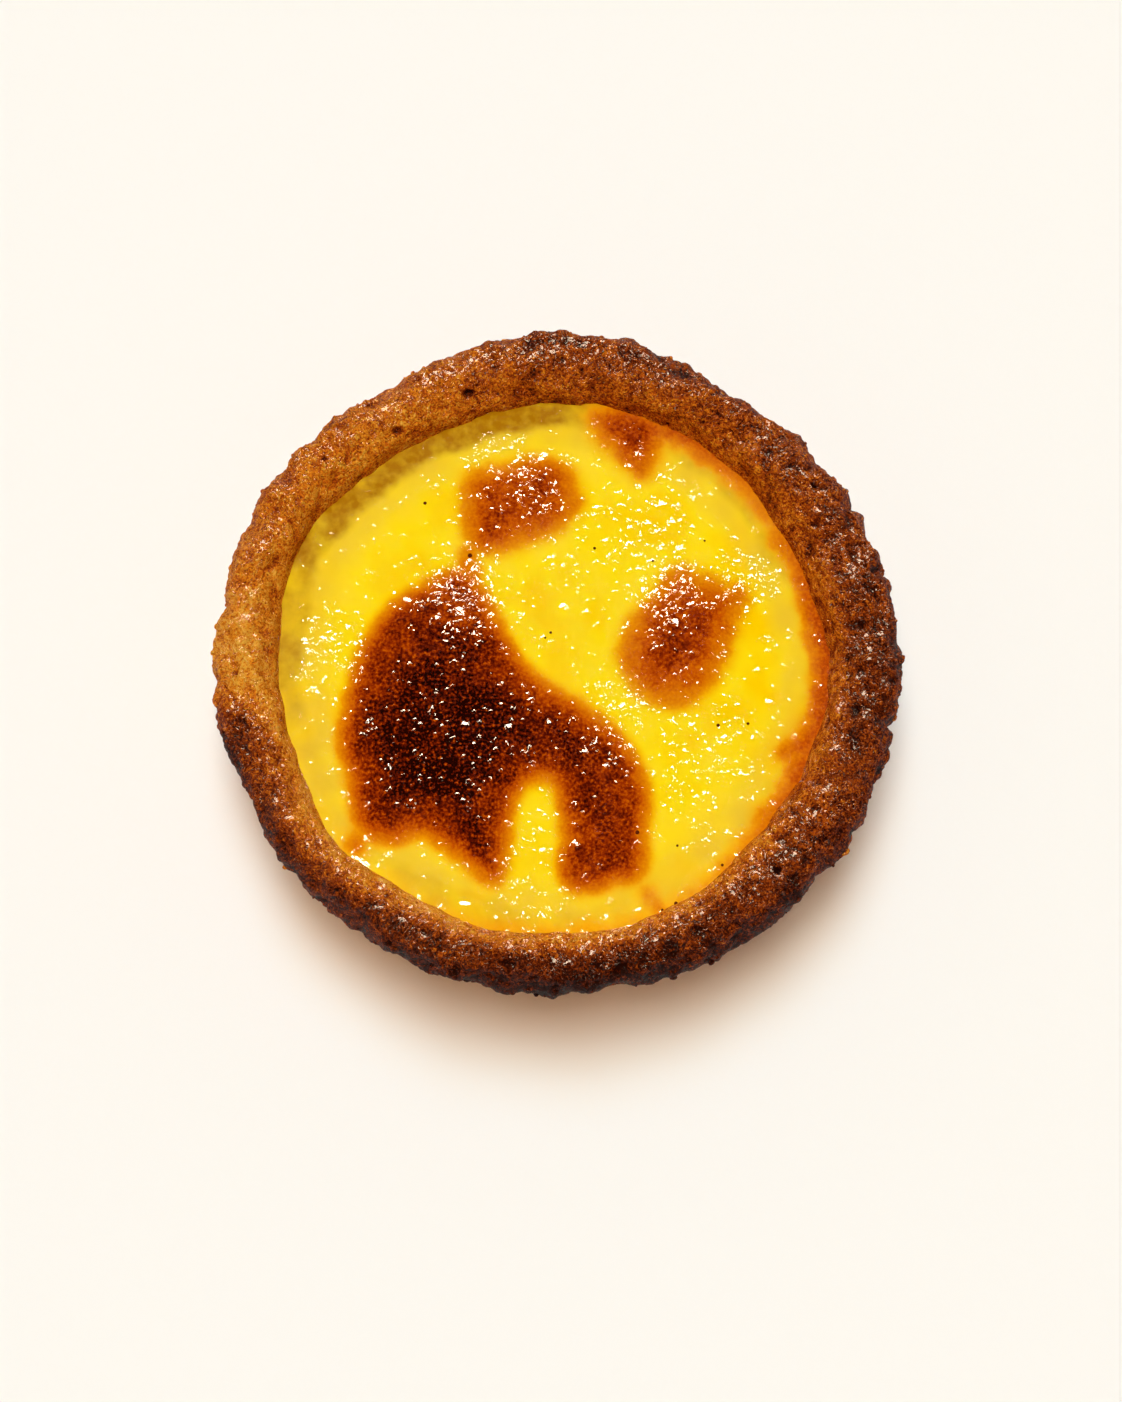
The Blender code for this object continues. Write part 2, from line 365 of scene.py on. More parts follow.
def turned(section, segments):
    """Spin a section round the upright axis into a closed mesh."""
    bm = bmesh.new()
    layers = [bm.verts.layers.float.new(name) for name in SHARES]
    points = []
    for radius, height, *shares in section:
        point = bm.verts.new((radius, 0.0, height))
        for layer, share in zip(layers, shares):
            point[layer] = share
        points.append(point)
    edges = [bm.edges.new(pair) for pair in zip(points, points[1:])]
    bmesh.ops.spin(
        bm, geom=points + edges, cent=(0.0, 0.0, 0.0), axis=(0.0, 0.0, 1.0),
        angle=2.0 * math.pi / SLICES, steps=segments // SLICES,
    )
    one_slice = bm.verts[:] + bm.edges[:] + bm.faces[:]
    for i in range(1, SLICES):
        copied = bmesh.ops.duplicate(bm, geom=one_slice)["geom"]
        bmesh.ops.rotate(
            bm, verts=[item for item in copied if isinstance(item, bmesh.types.BMVert)],
            cent=(0.0, 0.0, 0.0), matrix=Matrix.Rotation(2.0 * math.pi * i / SLICES, 3, "Z"),
        )
    bmesh.ops.remove_doubles(bm, verts=bm.verts, dist=SAME_PLACE)
    bmesh.ops.recalc_face_normals(bm, faces=bm.faces)
    return bm


def finished(bm, name, material):
    """Place a mesh made in millimetres in the frame, as a smooth piece that rides on the body."""
    bmesh.ops.translate(bm, verts=bm.verts, vec=AXIS_PLACE)
    bmesh.ops.scale(bm, verts=bm.verts, vec=(MM, MM, MM))
    mesh = bpy.data.meshes.new(name)
    bm.to_mesh(mesh)
    bm.free()
    mesh.materials.append(material)
    mesh.shade_smooth()
    piece = bpy.data.objects.new(name, mesh)
    bpy.context.scene.collection.objects.link(piece)
    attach(piece, "root")
    triangles = sum(len(face.vertices) - 2 for face in mesh.polygons)
    print(name, "has", triangles, "triangles")
    return piece


print("a spin is made of", SLICES, "slices")

# %% [markdown]
# ## The pastry shell
#
# The shell is turned with the same section as its solid, only finer: a ring every quarter of a
# millimetre on the lip, where crumbs show, and wider ones on the wall. It keeps its cavity, so
# the mesh stays one closed body.

# %% The shell's section
SHELL_SEGMENTS = 1000
BASE_RINGS = (0.0, 0.4, 0.8)
FOOT_STEPS = 4
WALL_STEPS = 20
OUTER_LIP_STEPS = 32
INNER_LIP_STEPS = 22
COVERED_STEPS = 4
CAVITY_FOOT_STEPS = 2

# How much of the big crags, and of the fine crumb, each stretch shows; the lip shows them all
LIP_CRAGS = 1.0
WALL_CRAGS = 0.45
FOOT_CRAGS = 0.25
EDGE_CRAGS = 0.45
WALL_CRUMB = 0.45
FOOT_CRUMB = 0.4
EDGE_CRUMB = 0.3
# How far up the wall the lip's relief begins, and how far down the inner lip it begins to fade
LIP_BEGINS = 0.75
LIP_FADES = 0.45


def shell_section():
    """From the middle of the underside, up the wall, over the lip, to the cavity's floor."""
    lip_half_r = RIM_RADIUS - LIP_CENTRE_RADIUS
    lip_half_z = LIP_TOP - LIP_CENTRE_HEIGHT
    inner_half_r = LIP_CENTRE_RADIUS - CUSTARD_EDGE_RADIUS
    inner_end = math.pi - math.asin((CUSTARD_EDGE_HEIGHT - LIP_CENTRE_HEIGHT) / lip_half_z)
    foot = arc(
        BASE_RADIUS - BASE_FILLET, BASE_FILLET, BASE_FILLET, BASE_FILLET,
        -QUARTER, -WALL_LEAN, FOOT_STEPS,
    )
    outer_lip = arc(
        LIP_CENTRE_RADIUS, LIP_CENTRE_HEIGHT, lip_half_r, lip_half_z,
        LIP_UNDERCUT, QUARTER, OUTER_LIP_STEPS,
    )
    inner_lip = arc(
        LIP_CENTRE_RADIUS, LIP_CENTRE_HEIGHT, inner_half_r, lip_half_z,
        QUARTER, inner_end, INNER_LIP_STEPS,
    )
    cavity_foot = arc(
        CAVITY_FLOOR_RADIUS - CAVITY_FILLET, FLOOR_THICKNESS + CAVITY_FILLET,
        CAVITY_FILLET, CAVITY_FILLET, -WALL_LEAN, -QUARTER, CAVITY_FOOT_STEPS,
    )
    section = [(BASE_RADIUS * share, 0.0, 0.0, 0.0, 1.0) for share in BASE_RINGS]
    section += [(r, z, 0.0, 0.0, 1.0) for r, z in foot[:1]]
    section += [(r, z, FOOT_CRAGS, FOOT_CRUMB, 1.0) for r, z in foot[1:]]
    wall = straight(foot[-1], outer_lip[0], WALL_STEPS)
    for i, (r, z) in enumerate(wall):
        share = smoothstep(LIP_BEGINS, 1.0, i / len(wall))
        crags = WALL_CRAGS + (LIP_CRAGS - WALL_CRAGS) * share
        section.append((r, z, crags, WALL_CRUMB + (1.0 - WALL_CRUMB) * share, 1.0))
    for r, z in outer_lip:
        section.append((r, z, LIP_CRAGS, 1.0, smoothstep(CUSTARD_EDGE_RADIUS, RIM_RADIUS, r)))
    for i, (r, z) in enumerate(inner_lip[1:]):
        share = 1.0 - smoothstep(LIP_FADES, 1.0, (i + 1) / (len(inner_lip) - 1))
        crags = EDGE_CRAGS + (LIP_CRAGS - EDGE_CRAGS) * share
        crumb = EDGE_CRUMB + (1.0 - EDGE_CRUMB) * share
        with_lip = smoothstep(CUSTARD_EDGE_RADIUS, RIM_RADIUS, r)
        section.append((r, z, crags, crumb, with_lip))
    covered = straight(inner_lip[-1], cavity_foot[0], COVERED_STEPS) + cavity_foot
    covered += [(CAVITY_FLOOR_RADIUS * 0.5, FLOOR_THICKNESS), (0.0, FLOOR_THICKNESS)]
    section += [(r, z, 0.0, 0.0, 0.0) for r, z in covered]
    return section


shell = turned(shell_section(), SHELL_SEGMENTS)
press_by_hand(shell)
print("shell points:", len(shell.verts))

# %% [markdown]
# ## Crags, crumbs and pores
#
# Short pastry bakes into a rough skin: slow crags where the dough was squeezed, wrinkles and
# crumbs about a millimetre across, and pores where steam broke out. Crags are Perlin noise, which
# blends softly. Wrinkles and clumps are the square root of the same noise without its sign: that
# gives round lumps parted by sharp creases, as in dough that cracked while it rose. Everything is
# pushed along the surface normal, so it works on the steep wall as well as on the lip.

# %% Relief of the pastry
# Depths and sizes in mm; each offset keeps one noise from lying on another
CRAG_DEPTH = 0.75
CRAG_SIZE = 5.5
LUMP_DEPTH = 0.65
LUMP_SIZE = 2.9
LUMP_OFFSET = Vector((7.0, 3.0, 11.0))
RUMPLE_DEPTH = 0.34
RUMPLE_SIZE = 1.6
WRINKLE_DEPTH = 0.34
WRINKLE_SIZE = 1.3
WRINKLE_OFFSET = Vector((3.0, 9.0, 1.0))
CLUMP_DEPTH = 0.7
CLUMP_SIZE = 2.2
CREASE_LEVEL = 0.4
CLUMP_OFFSET = Vector((1.0, 5.0, 8.0))
GRAIN_DEPTH = 0.14
GRAIN_SIZE = 0.6
# How fast the painted shade of a hollow darkens as it gets deeper
HOLLOW_GAIN = 3.2

# Where the dough broke into clumps with cracks between them: azimuth, half width, amount
CRUMBLY = ((350, 50, 0.6), (35, 30, 0.3), (80, 16, 0.3), (280, 30, 0.2))
CRUMBLY_EVERYWHERE = 0.15
# Scattered pores: distance apart, radius as a share of it, depth, the least lot that keeps one,
# and how much lots differ from cell to cell
PORE_SPACING = 2.6
PORE_SHARE = 0.14
PORE_DEPTH = 0.4
PORE_LOT = 0.12
LOT_SCALE = 5.3

# Pores that stand out on the lip: x, y, half length, half width, turn in degrees, depth
BIG_PORES = (
    (-9.9, 30.6, 0.85, 0.5, 8, 0.75), (-17.9, 26.4, 0.8, 0.42, 12, 0.5),
    (-25.4, 26.9, 0.7, 0.45, 20, 0.6), (-21.4, 29.6, 0.65, 0.3, 10, 0.4),
    (-19.5, 26.9, 0.3, 0.25, 0, 0.3), (-26, 22.8, 0.35, 0.3, 0, 0.4),
    (-15.3, 28.4, 0.25, 0.25, 0, 0.3), (-35.5, -1.9, 0.5, 0.3, 35, 0.6),
    (23.8, -24.1, 0.5, 0.45, 0, 0.7), (21.1, -23.7, 0.9, 0.2, 35, 0.4),
    (-4.3, -32.2, 0.3, 0.25, 0, 0.4), (32.6, -6.5, 0.9, 0.3, 70, 0.4),
    (36.4, -2.9, 0.4, 0.3, 0, 0.3), (34, 8.2, 0.7, 0.25, 40, 0.3),
    (28.4, 19.6, 0.6, 0.3, -50, 0.5), (15.2, 33, 0.9, 0.3, -20, 0.6),
    (9, 35.2, 0.5, 0.3, 10, 0.45), (25, 25.4, 0.6, 0.3, -40, 0.45),
    (35.3, -12.4, 0.6, 0.3, 60, 0.3), (12.5, -33.4, 0.6, 0.3, 20, 0.4),
)
PORE_REACH = 1.0
# Where a named pore's floor ends and where its rim does, as shares of its half sizes
PORE_FLOOR = 0.45
PORE_RIM = 1.15


def big_pore(point):
    """Depth of the named pores at this place."""
    deepest = 0.0
    for x, y, half_length, half_width, turn, depth in BIG_PORES:
        dx, dy = point.x - x, point.y - y
        if abs(dx) > PORE_REACH or abs(dy) > PORE_REACH:
            continue
        c, s = math.cos(math.radians(turn)), math.sin(math.radians(turn))
        away = math.hypot((dx * c + dy * s) / half_length, (dy * c - dx * s) / half_width)
        deepest = max(deepest, depth * (1.0 - smoothstep(PORE_FLOOR, PORE_RIM, away)))
    return deepest


def small_pore(point):
    """Depth of the scattered pores: one to a Voronoi cell, and most cells have none."""
    distances, centres = noise.voronoi(point / PORE_SPACING)
    if distances[0] > PORE_SHARE or noise.noise(centres[0] * LOT_SCALE) < PORE_LOT:
        return 0.0
    return PORE_DEPTH * (1.0 - (distances[0] / PORE_SHARE) ** 2)


def creased(place):
    """Round lumps parted by sharp creases, level with the skin on average."""
    return math.sqrt(abs(noise.noise(place))) - CREASE_LEVEL


def roughen_pastry(bm):
    """Push the pastry in and out along its normals, and store painted shade where it lies deep."""
    crag = bm.verts.layers.float["crag"]
    crumb = bm.verts.layers.float["crumb"]
    hollow_shade = bm.verts.layers.float.new("hollow_shade")
    bm.normal_update()
    moves = []
    for v in bm.verts:
        slow = CRAG_DEPTH * noise.noise(v.co / CRAG_SIZE)
        slow += LUMP_DEPTH * noise.noise(v.co / LUMP_SIZE + LUMP_OFFSET)
        crumb_share = v[crumb]
        fine = 0.0
        pore = 0.0
        if crumb_share > 0.0:
            clumped = min(1.0, CRUMBLY_EVERYWHERE + swell(azimuth_of(v.co), CRUMBLY))
            fine = RUMPLE_DEPTH * noise.noise(v.co / RUMPLE_SIZE)
            fine += WRINKLE_DEPTH * creased(v.co / WRINKLE_SIZE + WRINKLE_OFFSET)
            fine += CLUMP_DEPTH * clumped * creased(v.co / CLUMP_SIZE + CLUMP_OFFSET)
            fine += GRAIN_DEPTH * noise.noise(v.co / GRAIN_SIZE)
            pore = small_pore(v.co)
            if v.co.z > LIP_CENTRE_HEIGHT:
                pore = max(pore, big_pore(v.co))
            # Painted shade: deeper creases and pores are painted darker
            v[hollow_shade] = max(0.0, min(1.0, -HOLLOW_GAIN * fine)) + HOLLOW_GAIN * pore
        moves.append(v.normal * (slow * v[crag] + fine * crumb_share - pore))
    for v, move in zip(bm.verts, moves):
        v.co += move
        v.co.z = max(v.co.z, 0.0)


roughen_pastry(shell)
print("pastry roughened, lip top now at", round(max(v.co.z for v in shell.verts), 2), "mm")

# %% [markdown]
# ## How brown the shell is
#
# An oven browns what stands proud and what faces its hot side. Here the left of the lip stayed
# golden, the back of it and all of the right and the front went dark, and the inner face is
# paler, because the custard shaded it. This could be painted on a picture, but a number at each
# point needs no picture and no unwrapping: 0 is pale gold and 1 nearly burnt, and the material
# turns that into colour.

# %% Browning of the pastry
# How brown the lip is on the whole. Each tone then has the azimuth of its middle, half its width
# in degrees, and how much browner the pastry is there
LIP_BROWNING = 0.65
LIP_TONES = (
    (180, 18, -0.54), (138, 26, -0.24), (112, 14, -0.14), (352, 20, 0.12), (194, 7, 0.28),
    (334, 8, -0.04), (318, 22, 0.03), (275, 30, 0.20), (240, 14, 0.08),
)
FLANK_TONES = ((200, 26, 0.20), (285, 60, 0.18))
INNER_BROWNING = 0.34
INNER_TONES = (
    (85, 26, 0.14), (265, 34, -0.12), (130, 18, -0.06), (190, 35, -0.10), (228, 16, -0.12),
    (38, 20, 0.10), (0, 26, 0.12), (325, 14, 0.06),
)
# Where the inner face's tone starts and ends turning into the lip's, out from the custard's edge
TURN_OUTWARD = (0.3, 4.2)
FLANK_START = 0.5
# The wall pales towards its foot, from this height down and by this much
PALING_HEIGHT = 18.0
PALING = 0.12


def brown_pastry(bm):
    """Store how far each point of the pastry is baked."""
    browning = bm.verts.layers.float.new("browning")
    for v in bm.verts:
        radius = math.hypot(v.co.x, v.co.y)
        azimuth = azimuth_of(v.co)
        lip = LIP_BROWNING + swell(azimuth, LIP_TONES)
        inner = INNER_BROWNING + swell(azimuth, INNER_TONES)
        edge = CUSTARD_EDGE_RADIUS + swell(azimuth, CUSTARD_SWELLS)
        outward = smoothstep(edge + TURN_OUTWARD[0], edge + TURN_OUTWARD[1], radius)
        low = 1.0 - smoothstep(0.0, PALING_HEIGHT, v.co.z)
        flank = smoothstep(LIP_CENTRE_RADIUS + FLANK_START, RIM_RADIUS, radius)
        flank *= swell(azimuth, FLANK_TONES)
        v[browning] = inner + (lip - inner) * outward + flank - PALING * low


brown_pastry(shell)
print("browning stored")

# %% [markdown]
# ## Baked short pastry
#
# Short pastry is flour held together by butter. Its skin is matte where flour shows, so the base
# is rough and has no mirror of its own. Butter stands on it in fine drops, and a weak coat with
# drops of its own adds the small sparks that the eye reads as butter. Colour runs from gold
# through chestnut to nearly black, mottled at 4 mm where heat was uneven. At half a millimetre and
# less there is painted shade in the hollows of the crumb and grain bumps, and painted light on their
# tops. Thin wrinkles, where the baked skin folded, stand up a little and carry a painted highlight
# that makes them paler. Creases and pores get painted shade, because little light gets out of them.

# %% Pastry material
pastry, shader = new_material("baked_short_pastry")
place = add_node(pastry, "TexCoord").outputs["Object"]
tone = add_node(pastry, "Attribute", attribute_name="browning").outputs["Fac"]
# How much painted shade each place gets in its creases and pores
hollow_shade_share = add_node(pastry, "Attribute", attribute_name="hollow_shade").outputs["Fac"]

# Wrinkles: size in mm, half their width in noise about its middle, and how much they brown, which
# is negative: a painted highlight that makes them paler
FOLD_SIZE = 0.9
FOLD_WIDTH = 0.065
FOLD_PAINTED_HIGHLIGHT = -0.20
# How much the painted shade browns the creases and pores
HOLLOW_PAINTED_SHADE = 0.28
# Heights of the bumps in mm
WRINKLE_HEIGHT = 0.07
CRUMB_HEIGHT = 0.42
GRAIN_HEIGHT = 0.14
# Butter: its drops, the fleck noise between which it thickens, and the share of drops at each end
BUTTER_DROPS = (0.62, 0.33, 0.16, 0.8)
BUTTER_FLECK = (0.40, 0.62)
BUTTER_SHARE = (0.05, 0.6)
# Each layer of noise: size in mm, detail, distortion, and how much it browns the pastry. Mottle and
# fleck are the pastry's own uneven bake; crumb and grain also raise the bumps below, so their
# browning is painted shade in the bumps' hollows and painted light on their tops
NOISES = {
    "mottle": (4.0, 2.0, 0.0, 0.40),
    "fleck": (1.5, 2.0, 0.5, 0.30),
    "crumb": (0.55, 2.0, 1.6, -0.92),
    "grain": (0.26, 1.0, 0.8, -0.95),
}
layers = {}
for name, (size, detail, distortion, browns_and_painted_light) in NOISES.items():
    layers[name] = add_node(
        pastry, "TexNoise", {"Vector": place},
        {"Scale": 1.0 / (size * MM), "Detail": detail, "Roughness": 0.6, "Distortion": distortion},
    ).outputs["Fac"]
    level = add_node(pastry, "Math", {0: layers[name]}, {1: 0.5}, operation="SUBTRACT")
    tone = add_node(
        pastry, "Math", {0: level.outputs[0], 2: tone}, {1: browns_and_painted_light}, operation="MULTIPLY_ADD"
    ).outputs[0]
folds = add_node(
    pastry, "TexNoise", {"Vector": place},
    {"Scale": 1.0 / (FOLD_SIZE * MM), "Detail": 1.0, "Roughness": 0.6, "Distortion": 1.2},
)
from_fold = add_node(pastry, "Math", {0: folds.outputs["Fac"]}, {1: 0.5}, operation="SUBTRACT")
beside_fold = add_node(pastry, "Math", {0: from_fold.outputs[0]}, operation="ABSOLUTE")
wrinkle_and_highlight = add_node(
    pastry, "MapRange", {"Value": beside_fold.outputs[0]},
    {"From Max": FOLD_WIDTH, "To Min": 1.0, "To Max": 0.0},
).outputs["Result"]
# Painted highlight on the wrinkles, and painted shade in the creases and pores
for share, browns_and_painted_light in ((wrinkle_and_highlight, FOLD_PAINTED_HIGHLIGHT), (hollow_shade_share, HOLLOW_PAINTED_SHADE)):
    tone = add_node(
        pastry, "Math", {0: share, 2: tone}, {1: browns_and_painted_light}, operation="MULTIPLY_ADD"
    ).outputs[0]
# Stops are browning and colour; a new ramp's own two, the ends, come first
crust_colour = add_node(
    pastry, "ValToRGB", {"Fac": tone},
    stops=(
        (0.00, "#F8B23C"), (1.00, "#280A03"), (0.18, "#EE8F1A"), (0.35, "#D66D14"),
        (0.50, "#B04B0E"), (0.65, "#86330A"), (0.80, "#581D06"),
    ),
)
wrinkle_bump = add_node(
    pastry, "Bump", {"Height": wrinkle_and_highlight}, {"Strength": 1.0, "Distance": WRINKLE_HEIGHT * MM}
).outputs["Normal"]
crumb_bump = add_node(
    pastry, "Bump", {"Height": layers["crumb"], "Normal": wrinkle_bump},
    {"Strength": 1.0, "Distance": CRUMB_HEIGHT * MM},
)
grain_bump = add_node(
    pastry, "Bump", {"Height": layers["grain"], "Normal": crumb_bump.outputs["Normal"]},
    {"Strength": 1.0, "Distance": GRAIN_HEIGHT * MM},
)
buttery = add_node(
    pastry, "MapRange", {"Value": layers["fleck"]},
    dict(zip(("From Min", "From Max", "To Min", "To Max"), BUTTER_FLECK + BUTTER_SHARE)),
)
butter = beaded(pastry, place, BUTTER_DROPS, buttery.outputs["Result"], below=wrinkle_bump)
fill(pastry, shader, {
    "Base Color": crust_colour.outputs["Color"], "Normal": grain_bump.outputs["Normal"],
    "Coat Normal": butter,
}, {"Roughness": 0.6, "Specular IOR Level": 0.0, "Coat Weight": 0.22, "Coat Roughness": 0.10})
print("pastry shader:", len(pastry.node_tree.nodes), "nodes")

# %% [markdown]
# ## Loose crumbs and flakes
#
# The edge of the lip is never clean: crumbs of dough bake onto it. A few flakes stand out, and
# the rest are scattered by chance, from a fixed seed so that the tart always looks the same. Each
# is a little ball, squashed and made lumpy by noise, and sunk a third of its radius into the
# pastry. They are all one piece of the same material, so one crumb can be as brown as its place.

# %% Crumbs on the lip
CRUMB_SEED = 11
CRUMB_COUNT = 300
CRUMB_RADIUS = (0.14, 0.42)
CRUMB_SQUASH = (0.75, 1.25)
# Cubing the random draw makes small crumbs common and large ones rare
CRUMB_RARITY = 3
CRUMB_TONE = (-0.12, 0.05)
SUNK = 0.35
LUMPINESS = 0.5
LUMPS_PER_MM = 2.2
# The band of the lip that crumbs stick to: from this far under its middle, and this far outside
BAND_BELOW = 1.5
BAND_OUTSIDE = 0.8
FLAKE_SEARCH = 0.4
# Flakes that stand out: azimuth, radius of the flake, browning
FLAKES = (
    (99.2, 0.48, 0.22), (60.9, 0.55, 0.30), (52.8, 0.4, 0.30), (48.4, 0.45, 0.30),
    (325.7, 0.5, 0.35), (217.3, 0.35, 0.35), (132.6, 0.4, 0.35), (163.6, 0.35, 0.28),
    (18.4, 0.4, 0.38), (22.2, 0.35, 0.38), (350.4, 0.4, 0.5), (0.8, 0.4, 0.45), (83, 0.4, 0.45),
    (70.5, 0.35, 0.5),
)


def add_crumb(bm, layers, seat, outward, radius, brown, chance):
    """Add one lumpy crumb, sunk into the surface at its seat."""
    squash = [chance.uniform(*CRUMB_SQUASH) for _ in range(3)]
    turn = Matrix.Rotation(chance.uniform(0.0, 2.0 * math.pi), 4, outward)
    sunk = Matrix.Translation(seat - outward * radius * SUNK)
    matrix = sunk @ turn @ Matrix.Diagonal((*squash, 1.0))
    ball = bmesh.ops.create_icosphere(bm, subdivisions=2, radius=radius, matrix=matrix)
    for v in ball["verts"]:
        v.co += (v.co - seat) * LUMPINESS * noise.noise(v.co * LUMPS_PER_MM)
        v[layers["browning"]] = brown
        v[layers["hollow_shade"]] = 0.0


browning = shell.verts.layers.float["browning"]
shell.normal_update()
edge_points = [
    v for v in shell.verts
    if v.co.z > LIP_CENTRE_HEIGHT - BAND_BELOW
    and math.hypot(v.co.x, v.co.y) > LIP_CENTRE_RADIUS + BAND_OUTSIDE
]
crumbs = bmesh.new()
crumb_layers = {name: crumbs.verts.layers.float.new(name) for name in ("browning", "hollow_shade")}
chance = random.Random(CRUMB_SEED)
for v in chance.sample(edge_points, CRUMB_COUNT):
    size = CRUMB_RADIUS[0] + (CRUMB_RADIUS[1] - CRUMB_RADIUS[0]) * chance.random() ** CRUMB_RARITY
    brown = v[browning] + chance.uniform(*CRUMB_TONE)
    add_crumb(crumbs, crumb_layers, v.co.copy(), v.normal.copy(), size, brown, chance)
for azimuth, size, brown in FLAKES:
    near = [v for v in edge_points if abs(azimuth_of(v.co) - azimuth) < FLAKE_SEARCH]
    v = max(near, key=lambda point: math.hypot(point.co.x, point.co.y))
    add_crumb(crumbs, crumb_layers, v.co.copy(), v.normal.copy(), size, brown, chance)
finished(crumbs, "lip_crumbs", pastry)

crust_piece = finished(shell, "pastry_shell", pastry)
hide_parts("crust")

# %% [markdown]
# ## Scorched blisters
#
# Under a fierce top heat the custard's skin puffs up in places, and those places scorch. Each
# blister has an outline of a few points, rounded by a Catmull-Rom curve, and every point of the
# skin measures how far inside the nearest outline it lies. That one distance gives both the
# height of the puffed skin and how brown it is, so relief and colour agree. The biggest blister
# runs down the left half and has a tail to its right, with a finger of yellow between the two.

# %% Outlines of the blisters
GREAT_BLISTER = (
    (-10.8, 10.4), (-16.2, 8.1), (-19.6, 4.6), (-21.5, 1.2), (-23.1, -4.3), (-23.6, -8.6),
    (-22.7, -13), (-21.4, -18.4), (-18.4, -19.9), (-15, -19), (-11.9, -20.8), (-9, -23.2),
    (-6.8, -24.2), (-5.9, -21.5), (-5.6, -17.4), (-4.2, -14), (-1.5, -12.9), (0.4, -14.6),
    (0.9, -19.1), (0.8, -23.8), (2.6, -25.3), (6, -24.4), (8.8, -23.6), (9.3, -18.5),
    (9.3, -14.2), (7.1, -9.2), (2.3, -5.1), (-3, -1.6), (-6.9, 4.6), (-9, 8.6),
)
BACK_BLISTER = (
    (-10.3, 22), (-5.4, 23.7), (-1, 24.1), (1.9, 22), (2.6, 18.5), (1, 16),
    (-2.9, 14), (-7.7, 12.4), (-9.9, 13.8), (-10.8, 18),
)
RIGHT_BLISTER = (
    (13.4, 11.2), (18.1, 9.7), (21.2, 8.4), (20.3, 4.9), (18.7, 0.4), (16.6, -3),
    (13, -5), (9.3, -3.7), (6.8, -0.4), (7, 3), (9.6, 7.2),
)
EDGE_BLISTER = (
    (3.6, 29.8), (8, 30.6), (12.4, 28.6), (11.6, 25.6), (9.8, 21.8), (7, 23.4), (4.6, 26.2),
)
SIDE_SMUDGE = (
    (29.8, -4.2), (29.6, -8), (28.4, -11), (25, -11.4),
    (23.9, -9.6), (26, -7.4), (27.6, -5),
)
LOW_SMUDGE = ((21.4, -15.4), (23.8, -15.6), (25, -18), (22.8, -18.8), (21, -17.2))
FRONT_HAZE = ((8.4, -24.6), (10.6, -24.8), (12.8, -27.6), (11.4, -29.4), (8.8, -27.8))
APEX_HAZE = ((-11.6, 9), (-11.2, 13.6), (-8.6, 13.6), (-8, 9))
CORNER_HAZE = ((-22.4, -17.6), (-24.2, -20.6), (-21.8, -22.4), (-19.4, -19.6))

# Each blister: outline, how dark its middle is, how high it puffs, how wide its soft edge is
BLISTERS = (
    (GREAT_BLISTER, 1.0, 0.7, 1.0),
    (BACK_BLISTER, 0.57, 0.35, 1.0),
    (RIGHT_BLISTER, 0.56, 0.5, 1.0),
    (EDGE_BLISTER, 0.56, 0.1, 1.3),
    (SIDE_SMUDGE, 0.42, 0.1, 1.4),
    (LOW_SMUDGE, 0.20, 0.1, 1.3),
    (FRONT_HAZE, 0.24, 0.1, 1.8),
    (APEX_HAZE, 0.30, 0.0, 1.3),
    (CORNER_HAZE, 0.24, 0.0, 1.2),
)
# The darkest part of the great blister, how far it spreads, and the darkest tone far from it
HEART = (-12.0, -12.5)
HEART_RADIUS = 16.5
FAR_TONE = 0.55
CURVE_STEPS = 5
# How far from its outline a blister changes, in mm: the soft edge of its colour, the slow
# darkening towards its middle, and the foot and the top of its rise
SOFT_EDGE = (-2.8, 2.2)
DARKENING = (-0.6, 6.2)
RISE = (-1.8, 4.0)
LEAST_REACH = 1.0


def rounded(outline):
    """A closed Catmull-Rom curve through the points of an outline."""
    points = [np.array(p) for p in outline]
    curve = []
    for i in range(len(points)):
        a, b, c, d = (points[(i + k) % len(points)] for k in (-1, 0, 1, 2))
        for step in range(CURVE_STEPS):
            t = step / CURVE_STEPS
            bend = (2 * a - 5 * b + 4 * c - d) * t ** 2 + (3 * b - a - 3 * c + d) * t ** 3
            curve.append(0.5 * (2 * b + (c - a) * t + bend))
    return curve


def depth_inside(x, y, outline):
    """Distance from each place to the outline, positive inside it and negative outside."""
    curve = rounded(outline)
    nearest = np.full(len(x), np.inf)
    inside = np.zeros(len(x), bool)
    for (ax, ay), (bx, by) in zip(curve, curve[1:] + curve[:1]):
        along_x, along_y = bx - ax, by - ay
        length_squared = along_x ** 2 + along_y ** 2
        t = np.clip(((x - ax) * along_x + (y - ay) * along_y) / length_squared, 0.0, 1.0)
        nearest = np.minimum(nearest, np.hypot(x - ax - t * along_x, y - ay - t * along_y))
        if along_y:
            crosses = (ay > y) != (by > y)
            inside ^= crosses & (x < ax + along_x * (y - ay) / along_y)
    return np.where(inside, nearest, -nearest)


def soft(low, high, values):
    """The smoothstep of a whole array."""
    t = np.clip((values - low) / (high - low), 0.0, 1.0)
    return t * t * (3.0 - 2.0 * t)


print(len(BLISTERS), "blisters, the greatest drawn with", len(GREAT_BLISTER), "points")

# %% [markdown]
# ## The custard
#
# The custard's section starts at the cavity's floor and climbs the wall. Its edge reaches a little
# way into the pastry, because custard soaks into the crumb and leaves no gap. From there a thin
# film slopes down to a shallow crease, and inside the crease a soft shoulder rises to the skin.
# Only the skin has close rings, because nothing else of the custard is ever seen.

# %% The custard's section
CUSTARD_SEGMENTS = 720
FILM_STEPS = 15
SHOULDER_STEPS = 9
SKIN_STEPS = 92
HIDDEN_WALL_STEPS = 3
SOAK = 0.8
WALL_CLEARANCE = 0.3
# The wall stops this far under the edge, and the film starts this far over it, curved this much
EDGE_DROP = 2.0
EDGE_LIFT = 0.1
FILM_CURVE = 4


